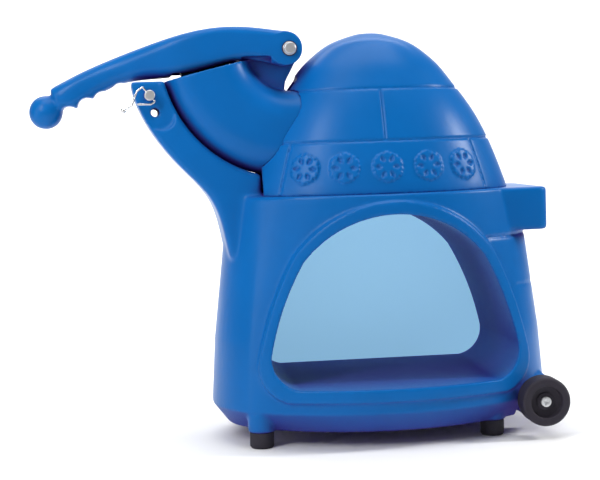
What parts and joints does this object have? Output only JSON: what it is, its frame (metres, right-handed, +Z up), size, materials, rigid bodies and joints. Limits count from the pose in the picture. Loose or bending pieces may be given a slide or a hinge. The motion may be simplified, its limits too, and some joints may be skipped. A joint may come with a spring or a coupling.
{
  "type": "shaved ice machine",
  "caption": "Wheeled igloo-shaped shaved ice machine with a through serving passage, domed cutter cover, curved feed chute and a hinged feed lever.",
  "frame": {"origin": "middle of the overall footprint, on the floor under the rubber feet", "axes": "+X along the length towards the wheels, -Y towards the serving front with the rimmed opening, +Z up"},
  "size_m": [0.655, 0.3084, 0.5258],
  "materials": {
    "blue_plastic": "moulded blue polyethylene with a soft satin gloss",
    "zinc_steel": "bright zinc-plated fasteners",
    "spring_wire": "bright spring wire",
    "tinted_window": "pale blue clear sheet",
    "white_plastic": "food-grade white plastic",
    "black_rubber": "soft black rubber",
    "black_plastic": "moulded black plastic",
    "bearing_plastic": "natural bearing plastic",
    "motor_paint": "black enamelled steel",
    "cast_alloy": "bead-blasted cast alloy",
    "zinc_plate": "zinc-plated sheet",
    "blade_steel": "ground stainless steel",
    "rocker_red": "red switch plastic"
  },
  "bodies": {
    "cabinet": {"cabinet": "blue_plastic", "dome_cover": "blue_plastic", "dome_screws": "zinc_steel", "feed_chute": "blue_plastic", "rear_window": "tinted_window", "window_clips": "white_plastic", "window_screws": "zinc_steel", "rubber_feet": "black_rubber", "foot_screws": "zinc_steel", "axle": "zinc_steel", "axle_spacers": "zinc_steel", "wheel_washers": "black_plastic", "wheel_screws": "zinc_steel", "pivot_bolt": "zinc_steel", "pivot_washers": "zinc_steel", "pivot_nut": "zinc_steel", "motor_body": "motor_paint", "motor_end_bells": "cast_alloy", "motor_plate": "zinc_plate", "motor_cradle": "zinc_plate", "motor_bolts": "zinc_steel", "cutter_housing": "cast_alloy", "housing_screws": "zinc_steel", "drop_duct": "white_plastic", "switch_housing": "black_plastic", "cord_gland": "black_plastic"},
    "lever": {"lever_arm": "blue_plastic", "lever_bushes": "black_plastic", "pusher": "black_plastic", "pusher_bolts": "zinc_steel"},
    "pin": {"retaining_pin": "zinc_steel"},
    "clip": {"pin_clip": "spring_wire"},
    "rotor": {"motor_shaft": "blade_steel", "cutter_disc": "cast_alloy", "cutter_blades": "blade_steel", "blade_screws": "zinc_steel", "hub_nut": "zinc_steel"},
    "front_roller": {"front_wheel": "black_plastic", "front_wheel_bush": "bearing_plastic"},
    "rear_roller": {"rear_wheel": "black_plastic", "rear_wheel_bush": "bearing_plastic"},
    "rocker": {"rocker": "rocker_red"}
  },
  "joints": [
    {"name": "lever_lift", "type": "hinge", "parent": "cabinet", "child": "lever", "pos_m": [0.001, 0, 0.496], "axis": [0, 1, 0], "range_deg": [0, 95]},
    {"name": "pin_pull", "type": "slide", "parent": "cabinet", "child": "pin", "axis": [0, -1, 0], "range_m": [0, 0.13]},
    {"name": "clip_swing", "type": "hinge", "parent": "pin", "child": "clip", "pos_m": [-0.176, -0.062, 0.442], "axis": [-0.6292, 0, 0.7773], "range_deg": [0, 80]},
    {"name": "cutter_spin", "type": "hinge", "parent": "cabinet", "child": "rotor", "pos_m": [0.1, 0, 0.389], "axis": [1, 0, 0], "continuous": true},
    {"name": "front_wheel_turn", "type": "hinge", "parent": "cabinet", "child": "front_roller", "pos_m": [0.297, -0.125, 0.047], "axis": [0, 1, 0], "continuous": true},
    {"name": "rear_wheel_turn", "type": "hinge", "parent": "cabinet", "child": "rear_roller", "pos_m": [0.297, 0.125, 0.047], "axis": [0, 1, 0], "continuous": true},
    {"name": "switch_rock", "type": "hinge", "parent": "cabinet", "child": "rocker", "pos_m": [0.238, 0.109, 0.284], "axis": [0, 0, 1], "range_deg": [0, 14]}
  ]
}
